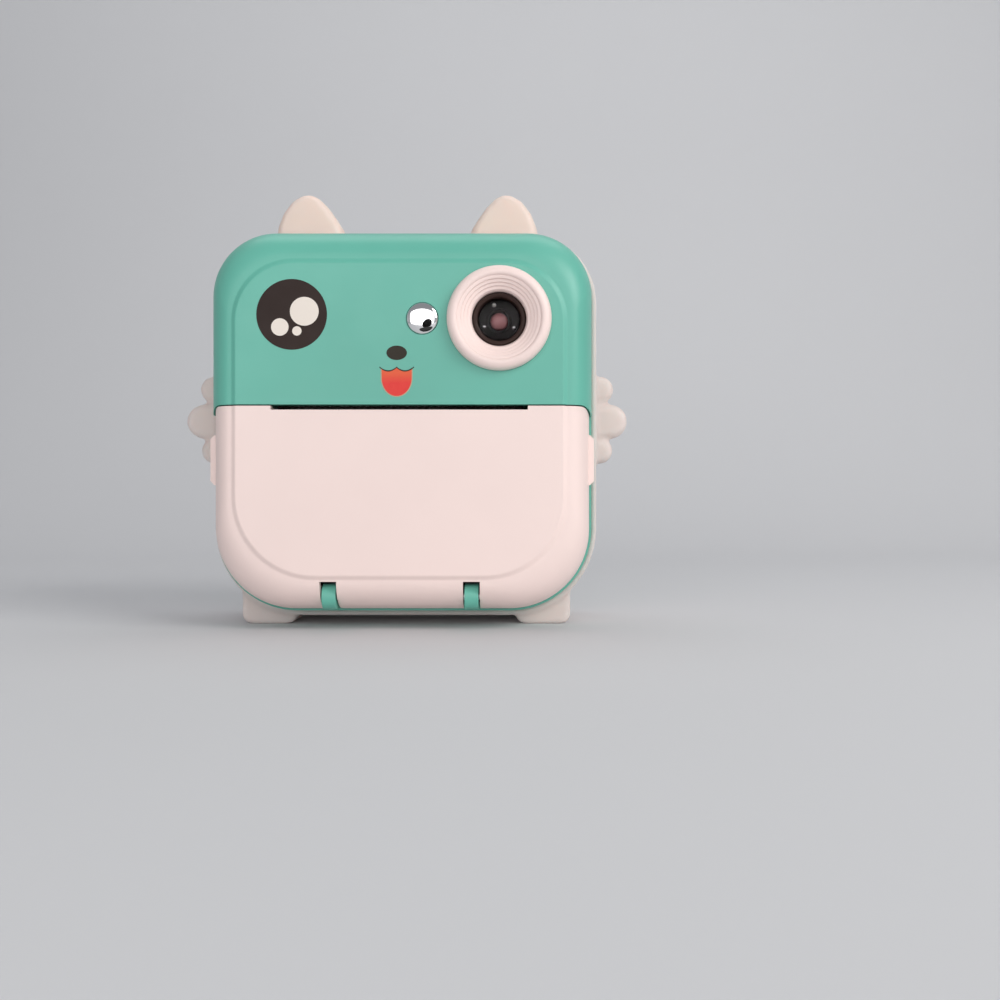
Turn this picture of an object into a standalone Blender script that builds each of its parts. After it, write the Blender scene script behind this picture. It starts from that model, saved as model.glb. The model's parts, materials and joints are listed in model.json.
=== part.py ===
"""Kids' instant-print camera in a silicone case.

World frame: metres, +Z up, the camera looks along -Y and stands on the case's two feet. Dimensions below
are in millimetres, with Z counted from the middle of the square body, and MM turns them into metres.
"""

import math

import bmesh
import bpy
from mathutils import Matrix, Vector

MM = 0.001
CENTRE_Z = 49.0          # height of the body's middle above the surface it stands on
GAP = 0.3                # clearance between pieces that touch
CORNER_STEPS = 6         # segments in each rounded corner
BAND_STEPS = 5           # rings across the rounded front edge
ROUND = 24               # segments round an ordinary turned piece

# Body
HALF = 45.0
TOP_CORNER = 15.0
BOTTOM_CORNER = 19.5
TOP_PLATEAU = 14.0       # corner radii of the raised front face
BOTTOM_PLATEAU = 19.0
FRONT_Y = -22.5
BACK_Y = 23.0
EDGE_Y = -12.0           # where the rounded front edge starts
BAND_X = 6.2             # width of the rounded front edge at the sides
BAND_Z = 7.9             # and at the top and bottom
CREASE = 0.6             # height of the raised front face over the rounded edge
BACK_ROUND = 6.0
WALL = 2.0
SPLIT_Z = 3.4            # lower edge of the front shell
DOOR_TOP_Z = 3.1
DOOR_INSET = 0.6
DOOR_CORNER = 2.5
SLOT_HALF = 29.5
SLOT_FLOOR_Z = 2.2

# Door hinge
HINGE_Y = -17.8
HINGE_Z = -41.0
LUG_X = 16.5
LUG_HALF = 1.6
NOTCH_HALF = 1.95
LUG_R = 3.0
HINGE_PIN_R = 0.8
HINGE_HOLE_R = 1.1

# Paper and printing mechanism
ROLL_Y = -4.5
ROLL_Z = -23.0
ROLL_R = 15.0
ROLL_HALF = 28.5
CORE_R = 6.5
CORE_BORE_R = 5.2
CRADLE_FRONT = -112      # angle where the trough under the roll ends, clear of the open door
PLATEN_Y = -14.0
PLATEN_Z = -2.5
PLATEN_R = 4.0
SHAFT_R = 1.2
BUSH_R = 2.1
MODULE = 0.5
PLATEN_TEETH = 18
IDLER_TEETH = 24
PINION_TEETH = 12
PINION_ANGLE = 45.0
GEAR_X = (31.6, 34.4)
PIVOT_Y = -7.2
PIVOT_Z = 5.2
MOTOR_R = 6.0

# Face and controls
LENS_X = 22.9
LENS_Z = 23.1
MIRROR_X = 5.3
MIRROR_R = 3.6
PAD_Z = -20.0
PAD_REACH = 8.5
BUTTON_R = 2.8
SIDE_BUTTON_X = 20.0
SPEAKER_X = 31.5
SPEAKER_Z = -22.0
SCREW_AT = 34.0

# Case
CASE_WALL = 1.5
CASE_FRONT_Y = -7.0
CASE_BACK_Y = 25.0
WINDOW_HALF = 36.5
EAR_X = 24.5
EAR_TIP_Z = 57.7
FOOT_Z = -49.0

COLOURS = {
    "teal_plastic": ((0.17, 0.56, 0.46), 0.38, 0.0),
    "white_plastic": ((0.87, 0.79, 0.76), 0.42, 0.0),
    "black_plastic": ((0.02, 0.02, 0.02), 0.35, 0.0),
    "silicone": ((0.80, 0.76, 0.74), 0.55, 0.0),
    "chrome": ((0.85, 0.85, 0.86), 0.06, 1.0),
    "steel": ((0.60, 0.61, 0.62), 0.30, 1.0),
    "lens_glass": ((0.10, 0.07, 0.08), 0.04, 0.0),
    "platen_rubber": ((0.05, 0.05, 0.05), 0.70, 0.0),
    "gear_nylon": ((0.80, 0.78, 0.70), 0.45, 0.0),
    "thermal_paper": ((0.90, 0.89, 0.87), 0.80, 0.0),
    "core_plastic": ((0.10, 0.10, 0.11), 0.50, 0.0),
    "circuit_board": ((0.03, 0.20, 0.09), 0.45, 0.0),
    "battery_wrap": ((0.55, 0.57, 0.60), 0.35, 0.0),
    "screen": ((0.01, 0.01, 0.015), 0.10, 0.0),
}


# ---------------------------------------------------------------- scene and objects

def clear_scene():
    for old in list(bpy.data.objects):
        bpy.data.objects.remove(old, do_unlink=True)


def material(slot):
    """A Principled material for one slot, made once."""
    found = bpy.data.materials.get(slot)
    if found:
        return found
    colour, roughness, metallic = COLOURS[slot]
    made = bpy.data.materials.new(slot)
    made.use_nodes = True
    shader = made.node_tree.nodes["Principled BSDF"]
    shader.inputs["Base Color"].default_value = (*colour, 1.0)
    shader.inputs["Roughness"].default_value = roughness
    shader.inputs["Metallic"].default_value = metallic
    return made


def world(x, y, z):
    """A place in metres from millimetres counted from the body's middle."""
    return Vector((x * MM, y * MM, (z + CENTRE_Z) * MM))


def axis_empty(name, x, y, z):
    """An empty on a joint's axis, which carries the pieces that the joint moves."""
    empty = bpy.data.objects.new(name, None)
    empty.location = world(x, y, z)
    empty.empty_display_size = 5 * MM
    bpy.context.scene.collection.objects.link(empty)
    return empty


def place(name, bm, slot, parent=None):
    """A named object from world-space geometry, with its origin on its parent's axis."""
    bmesh.ops.recalc_face_normals(bm, faces=bm.faces)
    mesh = bpy.data.meshes.new(name)
    bm.to_mesh(mesh)
    bm.free()
    obj = bpy.data.objects.new(name, mesh)
    bpy.context.scene.collection.objects.link(obj)
    if parent is not None:
        mesh.transform(Matrix.Translation(-parent.location))
        obj.parent = parent
    if slot:
        mesh.materials.append(material(slot))
        mesh.shade_smooth()
        mesh.set_sharp_from_angle(angle=math.radians(35))
    return obj


def boolean(obj, operation, bm, tangled=False):
    """Cuts, joins or crops an object with a hidden solid."""
    count = len(obj.modifiers)
    tool = place(f"{obj.name}_{operation.lower()}_{count}", bm, None)
    tool.hide_render = True
    tool.display_type = "WIRE"
    modifier = obj.modifiers.new(operation.title(), "BOOLEAN")
    modifier.operation = operation
    modifier.object = tool
    modifier.use_self = tangled


# ---------------------------------------------------------------- basic solids

def merged(*solids):
    """Several solids in one bmesh."""
    whole = bmesh.new()
    for bm in solids:
        mesh = bpy.data.meshes.new("merge")
        bmesh.ops.recalc_face_normals(bm, faces=bm.faces)
        bm.to_mesh(mesh)
        bm.free()
        whole.from_mesh(mesh)
        bpy.data.meshes.remove(mesh)
    return whole


def loft(rings):
    """A closed solid through rings of world points that all have the same count."""
    bm = bmesh.new()
    loops = [[bm.verts.new(world(*point)) for point in ring] for ring in rings]
    count = len(loops[0])
    for first, second in zip(loops, loops[1:]):
        for i in range(count):
            j = (i + 1) % count
            bm.faces.new((first[i], first[j], second[j], second[i]))
    bm.faces.new(loops[0])
    bm.faces.new(reversed(loops[-1]))
    return bm


def prism(outline, axis, low, high):
    """An outline extruded along X, Y or Z; it is given in the other two axes, in X, Y, Z order."""
    def point(a, b, along):
        return {"X": (along, a, b), "Y": (a, along, b), "Z": (a, b, along)}[axis]
    return loft([[point(a, b, low) for a, b in outline], [point(a, b, high) for a, b in outline]])


def box(low, high):
    outline = [(low[0], low[1]), (high[0], low[1]), (high[0], high[1]), (low[0], high[1])]
    return prism(outline, "Z", low[2], high[2])


def arc(centre, radius, start, end, steps):
    """Points on an arc, angles in degrees, both ends included."""
    points = []
    for i in range(steps + 1):
        angle = math.radians(start + (end - start) * i / steps)
        points.append((centre[0] + radius * math.cos(angle), centre[1] + radius * math.sin(angle)))
    return points


def rounded_outline(low, high, radius, steps=5):
    """A rectangle with round corners."""
    a0, b0 = low
    a1, b1 = high
    return (arc((a1 - radius, b1 - radius), radius, 0, 90, steps)
            + arc((a0 + radius, b1 - radius), radius, 90, 180, steps)
            + arc((a0 + radius, b0 + radius), radius, 180, 270, steps)
            + arc((a1 - radius, b0 + radius), radius, 270, 360, steps))


def turned(profile, axis, centre, segments=ROUND, closed=False):
    """A profile of (radius, place along the axis) turned about an axis through centre.

    A solid's profile starts and ends at radius 0; a ring's profile is a closed loop.
    """
    def point(radius, along, angle):
        u = centre[0] + radius * math.cos(angle)
        v = centre[1] + radius * math.sin(angle)
        return {"X": (along, u, v), "Y": (u, along, v), "Z": (u, v, along)}[axis]

    bm = bmesh.new()
    rings = []
    for radius, along in profile:
        if radius == 0:
            rings.append([bm.verts.new(world(*point(0, along, 0)))] * segments)
        else:
            rings.append([bm.verts.new(world(*point(radius, along, math.tau * i / segments)))
                          for i in range(segments)])
    pairs = list(zip(rings, rings[1:]))
    if closed:
        pairs.append((rings[-1], rings[0]))
    for first, second in pairs:
        for i in range(segments):
            j = (i + 1) % segments
            corners = list(dict.fromkeys((first[i], first[j], second[j], second[i])))
            if len(corners) > 2:
                bm.faces.new(corners)
    return bm


def rod(axis, centre, radius, low, high, segments=ROUND):
    return turned([(0, low), (radius, low), (radius, high), (0, high)], axis, centre, segments)


def tube(axis, centre, outer, inner, low, high, segments=ROUND):
    profile = [(inner, low), (outer, low), (outer, high), (inner, high)]
    return turned(profile, axis, centre, segments, closed=True)


def body_ring(half_x, half_z, top_corner, bottom_corner, y):
    """One rounded-square ring of the body at depth y."""
    ring = []
    corners = ((1, 1, top_corner, 0), (-1, 1, top_corner, 90),
               (-1, -1, bottom_corner, 180), (1, -1, bottom_corner, 270))
    for side_x, side_z, radius, start in corners:
        centre = (side_x * (half_x - radius), side_z * (half_z - radius))
        ring += [(x, y, z) for x, z in arc(centre, radius, start, start + 90, CORNER_STEPS)]
    return ring


def body_solid(offset, front_y, back_y):
    """The camera's outer form, moved out by offset (in where negative)."""
    half = HALF + offset
    depth = EDGE_Y - front_y - CREASE
    rings = []

    def ring(share, y, extra=0.0):
        edge = HALF + offset * (1 - share)
        rings.append(body_ring(
            edge - BAND_X * share - extra,
            edge - BAND_Z * share - extra,
            (TOP_CORNER + offset) * (1 - share) + TOP_PLATEAU * share,
            (BOTTOM_CORNER + offset) * (1 - share) + BOTTOM_PLATEAU * share,
            y))

    ring(1.0, front_y, extra=0.9)
    for i in range(BAND_STEPS, -1, -1):
        angle = math.pi / 2 * i / BAND_STEPS
        ring(1 - math.cos(angle), EDGE_Y - depth * math.sin(angle))
    back_round = BACK_ROUND + offset
    for i in range(5):
        angle = math.pi / 8 * i
        inset = back_round * (1 - math.cos(angle))
        rings.append(body_ring(
            half - inset,
            half - inset,
            TOP_CORNER + offset - inset,
            BOTTOM_CORNER + offset - inset,
            back_y - back_round + back_round * math.sin(angle)))
    return loft(rings)


def inside_solid(offset):
    """The hollow inside a shell whose outer form is moved out by offset."""
    return body_solid(offset - WALL, FRONT_Y + WALL + 0.1, BACK_Y - WALL)


# ---------------------------------------------------------------- shells

def door_corner(radius, start):
    """Arc round the door's upper right corner, from an angle in degrees up to the top edge."""
    centre = (HALF - DOOR_INSET - DOOR_CORNER, DOOR_TOP_Z - DOOR_CORNER)
    return arc(centre, radius, start, 90, 6)


def make_front_shell():
    shell = place("front_shell", body_solid(0, FRONT_Y, BACK_Y), "teal_plastic")
    boolean(shell, "DIFFERENCE", inside_solid(0))
    right = door_corner(DOOR_CORNER + GAP, 20)
    left = [(-x, z) for x, z in reversed(right)]
    edge = [(60, right[0][1])] + right + left + [(-60, right[0][1])]
    boolean(shell, "INTERSECT", prism(edge + [(-60, 60), (60, 60)], "Y", -40, EDGE_Y - GAP / 2))
    boolean(shell, "UNION", box((-40.5, -20.6, SPLIT_Z), (40.5, EDGE_Y - GAP / 2, SPLIT_Z + WALL)))
    posts = [rod("Y", (side * SCREW_AT, SCREW_AT), 3.0, -20.0, 12.7, 16) for side in (-1, 1)]
    boolean(shell, "UNION", merged(*posts))
    pilots = [rod("Y", (side * SCREW_AT, SCREW_AT), 1.3, 3.0, 14.0, 12) for side in (-1, 1)]
    boolean(shell, "DIFFERENCE", merged(
        rod("Y", (LENS_X, LENS_Z), 9.3, -30, -15),
        rod("Y", (MIRROR_X, LENS_Z), MIRROR_R + GAP, -30, -15),
        *pilots))


def back_button_places():
    """Name, x, z and radius of each button on the back."""
    return [
        ("ok_button", 0, PAD_Z, 3.6),
        ("up_button", 0, PAD_Z + PAD_REACH, BUTTON_R),
        ("down_button", 0, PAD_Z - PAD_REACH, BUTTON_R),
        ("left_button", PAD_REACH, PAD_Z, BUTTON_R),
        ("right_button", -PAD_REACH, PAD_Z, BUTTON_R),
        ("menu_button", -SIDE_BUTTON_X, PAD_Z, BUTTON_R),
        ("play_button", SIDE_BUTTON_X, PAD_Z, BUTTON_R),
    ]


def screw_places():
    return [(x, z) for z in (SCREW_AT, -SCREW_AT) for x in (-SCREW_AT, SCREW_AT)]


def speaker_holes():
    holes = [rod("Y", (SPEAKER_X, SPEAKER_Z), 0.8, 18, 26, 10)]
    for i in range(6):
        angle = math.tau * i / 6
        centre = (SPEAKER_X + 3.2 * math.cos(angle), SPEAKER_Z + 3.2 * math.sin(angle))
        holes.append(rod("Y", centre, 0.8, 18, 26, 10))
    return holes


def make_rear_shell():
    shell = place("rear_shell", body_solid(0, FRONT_Y, BACK_Y), "teal_plastic")
    boolean(shell, "DIFFERENCE", inside_solid(0))
    boolean(shell, "INTERSECT", box((-60, EDGE_Y + GAP / 2, -60), (60, 60, 60)))
    bosses = [rod("Y", (x, z), 3.0, 13.0, 21.8, 16) for x, z in screw_places()]
    arms = []
    for side in (-1, 1):
        x = side * LUG_X
        outline = (arc((HINGE_Y, HINGE_Z), LUG_R, 90, 270, 12)
                   + [(-8.0, HINGE_Z - LUG_R), (-8.0, -42.0), (-15.0, -42.0), (HINGE_Y + 1.5, -38.4)])
        arms.append(prism(outline, "X", x - LUG_HALF, x + LUG_HALF))
    boolean(shell, "UNION", merged(*bosses, *arms))
    holes = [rod("X", (HINGE_Y, HINGE_Z), HINGE_HOLE_R, -20, 20, 16)]
    holes.append(prism(rounded_outline((-26.3, -3.3), (26.3, 33.3), 2.3), "Y", 18, 26))
    holes += [rod("Y", (x, z), r + GAP, 18, 26, 16) for _, x, z, r in back_button_places()]
    holes += speaker_holes()
    holes.append(prism(rounded_outline((-8.8, -1.3), (4.8, 5.3), 3.2), "Z", 40, 50))
    holes.append(rod("Z", (9.5, 2.0), 2.7, 40, 50, 24))
    holes.append(prism(rounded_outline((11.2, 9.7), (15.0, 19.3), 1.6), "X", -50, -41))
    holes.append(box((-50, 12.6, -6.2), (-41, 14.5, 6.2)))
    for x, z in screw_places():
        holes.append(turned([(0, 11), (1.3, 11), (1.3, 20.2), (2.5, 20.2), (2.5, 27), (0, 27)],
                            "Y", (x, z), 16))
    boolean(shell, "DIFFERENCE", merged(*holes))


def door_region():
    """The side view that the door is cropped to, cut back where it sweeps past the rear shell."""
    outline = [(-30, -60), (-13.6, -60), (-13.6, -40), (-12.3, -38), (-12.3, -1),
               (-14, DOOR_TOP_Z), (-30, DOOR_TOP_Z)]
    return prism(outline, "X", -60, 60)


def door_inner_parts():
    """Lip under the slot, roller brackets, hinge bosses and side grips."""
    parts = [box((-38, -21.4, -0.4), (38, -18.6, 2.8))]
    grip = [(43.4, -15.0), (44.4, -15.0), (45.3, -14.0), (45.3, -4.2), (44.4, -3.2), (43.4, -3.2)]
    for side in (-1, 1):
        inner, outer = sorted((side * 29.0, side * 30.6))
        outline = [(-21.4, -8), (-12.4, -7), (-12.4, -0.5), (-14.5, 1.2), (-21.4, 1.2)]
        parts.append(prism(outline, "X", inner, outer))
        for near, far in ((10.5, 14.1), (18.9, 22.5)):
            low, high = sorted((side * near, side * far))
            outline = arc((HINGE_Y, HINGE_Z), 1.9, -90, 90, 10) + [(-20.3, -39.5), (-19.0, -41.7)]
            parts.append(prism(outline, "X", low, high))
        parts.append(prism([(side * x, z) for x, z in grip], "Y", -15.6, -12.5))
    return parts


def make_paper_door(parent):
    door = place("paper_door", body_solid(-DOOR_INSET, FRONT_Y, BACK_Y), "white_plastic")
    boolean(door, "DIFFERENCE", inside_solid(-DOOR_INSET))
    boolean(door, "INTERSECT", door_region())
    boolean(door, "UNION", merged(*door_inner_parts()), tangled=True)
    holes = [box((-SLOT_HALF, -30, SLOT_FLOOR_Z), (SLOT_HALF, -10, 5))]
    holes.append(rod("X", (HINGE_Y, HINGE_Z), HINGE_HOLE_R, -22.3, 22.3, 16))
    holes.append(rod("X", (PLATEN_Y, PLATEN_Z), BUSH_R + GAP, -35, 35, 24))
    for side in (-1, 1):
        low, high = sorted((side * (LUG_X - NOTCH_HALF), side * (LUG_X + NOTCH_HALF)))
        holes.append(box((low, -25, -50), (high, -10, -37.3)))
        corner = door_corner(DOOR_CORNER, 0)
        corner += [(corner[-1][0], 10), (60, 10), (60, corner[0][1])]
        holes.append(prism([(side * x, z) for x, z in corner], "Y", -30, -5))
    boolean(door, "DIFFERENCE", merged(*holes), tangled=True)
    attach(door, parent)


def attach(obj, parent):
    """Puts an object built in world space on its parent's axis, with its hidden tools."""
    obj.data.transform(Matrix.Translation(-parent.location))
    obj.parent = parent


def make_hinge_pins():
    for side, name in ((-1, "hinge_pin_left"), (1, "hinge_pin_right")):
        low, high = sorted((side * 10.8, side * 22.0))
        place(name, rod("X", (HINGE_Y, HINGE_Z), HINGE_PIN_R, low, high, 16), "steel")


def make_case_screws():
    for i, (x, z) in enumerate(screw_places()):
        profile = [(0, 5.5), (0.5, 5.5), (1.0, 6.5), (1.0, 20.5), (2.2, 20.5), (2.2, 21.4),
                   (1.6, 22.0), (0, 22.0)]
        place(f"case_screw_{i + 1}", turned(profile, "Y", (x, z), 16), "steel")


# ---------------------------------------------------------------- silicone case

def ear(side):
    """One ear: a puffed triangle with a steep outer side."""
    outline = [(32.8, 45.6), (32.3, 49.5), (30.9, 53.0), (28.6, 56.0), (26.0, 57.5), (24.0, EAR_TIP_Z),
               (22.0, 56.8), (19.6, 54.4), (17.6, 51.6), (16.0, 49.0), (15.0, 45.6)]
    centre_z = 50.0
    rings = []
    for y, scale in ((-5.0, 0.80), (-4.2, 0.93), (-2.5, 1.0), (2.5, 1.0), (4.2, 0.93), (5.0, 0.80)):
        rings.append([(side * (EAR_X + (x - EAR_X) * scale), y,
                       z if z < 46 else centre_z + (z - centre_z) * scale) for x, z in outline])
    return loft(rings)


def wing(side):
    """One flat cloud-shaped wing: three round-ended lobes on a root."""
    root = 46.0
    lobes = [prism([(side * x, z) for x, z in ((root, -8.6), (48.6, -8.6), (48.6, 11.4), (root, 11.4))],
                   "Y", -4.6, -0.6)]
    for x, z, radius in ((48.0, 8.9, 3.3), (50.5, 1.0, 4.2), (48.0, -6.3, 3.1)):
        rings = []
        for y, inset in ((-5.2, 1.3), (-4.7, 0.4), (-3.8, 0.0), (-1.4, 0.0), (-0.5, 0.4), (0.0, 1.3)):
            size = radius - inset
            outline = arc((x, z), size, -90, 90, 10) + [(root, z + size), (root, z - size)]
            rings.append([(side * a, y, b) for a, b in outline])
        lobes.append(loft(rings))
    return lobes


def foot(side):
    low, high = sorted((side * 27.0, side * 40.5))
    return prism(rounded_outline((low, FOOT_Z), (high, -38.0), 2.4), "Y", -6.0, 20.0)


def make_silicone_case():
    outer = body_solid(GAP + CASE_WALL, FRONT_Y - 2, CASE_BACK_Y)
    case = place("silicone_case", outer, "silicone")
    boolean(case, "INTERSECT", box((-70, CASE_FRONT_Y, -60), (70, 60, 60)))
    extras = [ear(1), ear(-1), foot(1), foot(-1), *wing(1), *wing(-1)]
    boolean(case, "UNION", merged(*extras), tangled=True)
    boolean(case, "DIFFERENCE", body_solid(GAP, FRONT_Y - 12, BACK_Y + GAP))
    windows = [prism(rounded_outline((-WINDOW_HALF, -WINDOW_HALF), (WINDOW_HALF, WINDOW_HALF), 9), "Y", 20, 30),
               prism(rounded_outline((9.5, -9.5), (17.5, 22.0), 3), "X", -60, -44),
               prism(rounded_outline((-10.5, -3.0), (13.5, 7.0), 4), "Z", 43, 60)]
    boolean(case, "DIFFERENCE", merged(*windows))


# ---------------------------------------------------------------- lens and mirror

def make_lens():
    centre = (LENS_X, LENS_Z)
    ring = [(6.7, -20.4), (9.0, -20.4), (9.0, -22.8), (12.0, -22.8), (12.0, -23.5), (11.7, -24.3),
            (11.2, -24.8), (10.5, -25.0), (9.9, -24.9), (9.5, -24.4), (8.7, -24.4), (8.7, -23.8),
            (7.9, -23.8), (7.9, -23.2), (7.1, -23.2), (7.1, -22.6), (6.7, -22.6)]
    place("lens_ring", turned(ring, "Y", centre, 32, closed=True), "white_plastic")
    barrel = [(0, -12.2), (6.0, -12.2), (6.0, -17.0), (6.4, -17.0), (6.4, -21.6), (6.1, -21.9),
              (5.3, -21.9), (4.9, -21.4), (4.9, -19.2), (2.3, -19.2), (2.3, -17.6), (0, -17.6)]
    lens_barrel = place("lens_barrel", turned(barrel, "Y", centre, 24), "black_plastic")
    glass = [(0, -20.9), (4.6, -20.9), (4.6, -20.4), (0, -20.4)]
    place("cover_glass", turned(glass, "Y", centre, 24), "lens_glass")
    element = [(0, -17.9), (2.0, -17.9), (2.0, -18.4), (1.5, -18.8), (0.8, -19.0), (0, -19.1)]
    place("front_lens", turned(element, "Y", centre, 24), "lens_glass")
    holes = []
    for i, angle in enumerate((108, 202, 335)):
        x = LENS_X + 3.75 * math.cos(math.radians(angle))
        z = LENS_Z + 3.75 * math.sin(math.radians(angle))
        holes.append(rod("Y", (x, z), 0.5, -20, -18.2, 10))
        screw = [(0, -18.6), (0.2, -18.6), (0.2, -19.5), (0.55, -19.5), (0.5, -19.9), (0, -20.05)]
        place(f"lens_screw_{i + 1}", turned(screw, "Y", (x, z), 10), "steel")
    boolean(lens_barrel, "DIFFERENCE", merged(*holes))
    module = prism(rounded_outline((LENS_X - 7.4, LENS_Z - 7.4), (LENS_X + 7.4, LENS_Z + 7.4), 1.5),
                   "Y", -11.9, -6.4)
    place("camera_module", module, "black_plastic")


def make_mirror():
    """Convex selfie mirror, set in a round seat."""
    profile = [(0, -21.4), (3.3, -21.4), (MIRROR_R, -21.7), (MIRROR_R, -22.7), (3.2, -22.95),
               (2.4, -23.15), (1.3, -23.3), (0, -23.35)]
    place("selfie_mirror", turned(profile, "Y", (MIRROR_X, LENS_Z), 24), "chrome")


# ---------------------------------------------------------------- paper and print mechanism

def make_paper(parent):
    centre = (ROLL_Y, ROLL_Z)
    place("paper_roll", tube("X", centre, ROLL_R, CORE_R + GAP, -ROLL_HALF, ROLL_HALF, 36),
          "thermal_paper", parent)
    place("paper_core", tube("X", centre, CORE_R, CORE_BORE_R, -ROLL_HALF + 0.1, ROLL_HALF - 0.1),
          "core_plastic", parent)


def make_paper_cradle():
    """A trough under and behind the roll, with two cheeks and two screw bosses."""
    centre = (ROLL_Y, ROLL_Z)
    trough = arc(centre, 17.5, CRADLE_FRONT, 40, 24) + arc(centre, 16.0, 40, CRADLE_FRONT, 24)
    cradle = place("paper_cradle", prism(trough, "X", -31.4, 31.4), "black_plastic")
    extras = []
    for side in (-1, 1):
        low, high = sorted((side * 29.9, side * 31.4))
        extras.append(prism(arc(centre, 17.0, CRADLE_FRONT, 40, 24), "X", low, high))
        extras.append(rod("Y", (side * SCREW_AT, -SCREW_AT), 3.0, 1.0, 12.7, 16))
    boolean(cradle, "UNION", merged(*extras), tangled=True)
    pilots = [rod("Y", (side * SCREW_AT, -SCREW_AT), 1.3, 3.0, 14.0, 12) for side in (-1, 1)]
    boolean(cradle, "DIFFERENCE", merged(*pilots))


def gear_outline(teeth, centre, tooth_angle):
    """Spur gear outline with involute flanks; one tooth is centred on tooth_angle, in degrees."""
    pitch_r = MODULE * teeth / 2
    base_r = pitch_r * math.cos(math.radians(20))
    root_r = pitch_r - 1.2 * MODULE
    tip_r = pitch_r + 0.8 * MODULE
    half_tooth = 0.42 * math.pi / teeth

    def spread(radius):
        """Involute angle from the base circle to a radius."""
        if radius <= base_r:
            return 0.0
        pressure = math.acos(base_r / radius)
        return math.tan(pressure) - pressure

    flank = []
    for radius in (root_r, max(root_r, base_r), pitch_r, tip_r):
        half_width = half_tooth + spread(pitch_r) - spread(radius)
        if not flank or radius > flank[-1][0] + 0.01:
            flank.append((radius, half_width))
    outline = []
    for k in range(teeth):
        middle = math.radians(tooth_angle) + math.tau * k / teeth
        sides = [(r, middle - w) for r, w in flank] + [(r, middle + w) for r, w in reversed(flank)]
        outline += [(centre[0] + r * math.cos(a), centre[1] + r * math.sin(a)) for r, a in sides]
    return outline


def idler_centre():
    return (PLATEN_Y + MODULE * (PLATEN_TEETH + IDLER_TEETH) / 2, PLATEN_Z)


def pinion_centre():
    reach = MODULE * (IDLER_TEETH + PINION_TEETH) / 2
    y, z = idler_centre()
    angle = math.radians(PINION_ANGLE)
    return (y + reach * math.cos(angle), z + reach * math.sin(angle))


def make_platen(parent):
    """Rubber roller on the door, its shaft, bushes and gear."""
    centre = (PLATEN_Y, PLATEN_Z)
    place("platen_roller", tube("X", centre, PLATEN_R, SHAFT_R + GAP, -28.2, 28.2), "platen_rubber", parent)
    place("platen_shaft", rod("X", centre, SHAFT_R, -32.5, 35.2, 20), "steel", parent)
    half_pitch = 180 / PLATEN_TEETH
    gear = place("platen_gear", prism(gear_outline(PLATEN_TEETH, centre, half_pitch), "X", *GEAR_X),
                 "gear_nylon", parent)
    boolean(gear, "DIFFERENCE", rod("X", centre, SHAFT_R + GAP, 30, 37, 20))


def make_platen_bushes(parent):
    for side, name in ((-1, "platen_bush_left"), (1, "platen_bush_right")):
        low, high = sorted((side * 28.7, side * 30.9))
        place(name, tube("X", (PLATEN_Y, PLATEN_Z), BUSH_R, SHAFT_R + GAP, low, high, 24), "steel", parent)


def make_idler(parent):
    centre = idler_centre()
    gear = place("idler_gear", prism(gear_outline(IDLER_TEETH, centre, 180), "X", *GEAR_X),
                 "gear_nylon", parent)
    boolean(gear, "DIFFERENCE", rod("X", centre, 0.8 + GAP, 30, 37, 20))
    place("idler_pin", rod("X", centre, 0.8, 29.4, 35.4, 16), "steel")


def make_motor(parent):
    centre = pinion_centre()
    body = [(1.9, 10.0), (MOTOR_R - 0.6, 10.0), (MOTOR_R, 10.6), (MOTOR_R, 29.0), (3.0, 29.0),
            (3.0, 29.8), (1.9, 29.8)]
    place("motor", turned(body, "X", centre, closed=True), "steel")
    place("motor_shaft", rod("X", centre, 0.75, 12.0, 35.2, 16), "steel", parent)
    tooth = PINION_ANGLE + 180 + 180 / PINION_TEETH
    pinion = place("motor_pinion", prism(gear_outline(PINION_TEETH, centre, tooth), "X", *GEAR_X),
                   "gear_nylon", parent)
    boolean(pinion, "DIFFERENCE", rod("X", centre, 0.75 + GAP, 30, 37, 16))


def make_mech_frame():
    """Folded steel frame that holds the head, the motor and the idler."""
    side = [(-11.6, -7.5), (9.4, -7.5), (9.4, 11.2), (-11.6, 11.2)]
    frame = place("mech_frame", prism(side, "X", 30.2, 31.2), "steel")
    joined = [prism(side, "X", -31.2, -30.2),
              box((-30.7, -5.2, -7.5), (30.7, -4.4, -2.6)),
              box((-30.7, -8.0, 10.4), (30.7, 9.4, 11.2))]
    boolean(frame, "UNION", merged(*joined), tangled=True)
    boolean(frame, "DIFFERENCE", merged(
        rod("X", pinion_centre(), 1.6, 28, 33, 16),
        rod("X", idler_centre(), 0.8 + GAP, 28, 33, 16),
        rod("X", (PIVOT_Y, PIVOT_Z), 0.8 + GAP, -33, 33, 16)))


def make_print_head(parent):
    """Thermal head: a flat heat spreader hung from a pivot rod by two eyes."""
    head = place("print_head", box((-28, -9.7, -7.0), (28, -8.5, 4.4)), "steel")
    eyes = []
    for side in (-1, 1):
        low, high = sorted((side * 24, side * 26))
        eyes.append(rod("X", (PIVOT_Y, PIVOT_Z), 2.0, low, high, 16))
    boolean(head, "UNION", merged(*eyes))
    boolean(head, "DIFFERENCE", rod("X", (PIVOT_Y, PIVOT_Z), 0.8 + GAP, -33, 33, 16))
    attach(head, parent)
    place("head_pivot", rod("X", (PIVOT_Y, PIVOT_Z), 0.8, -31.0, 31.0, 16), "steel")


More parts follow.
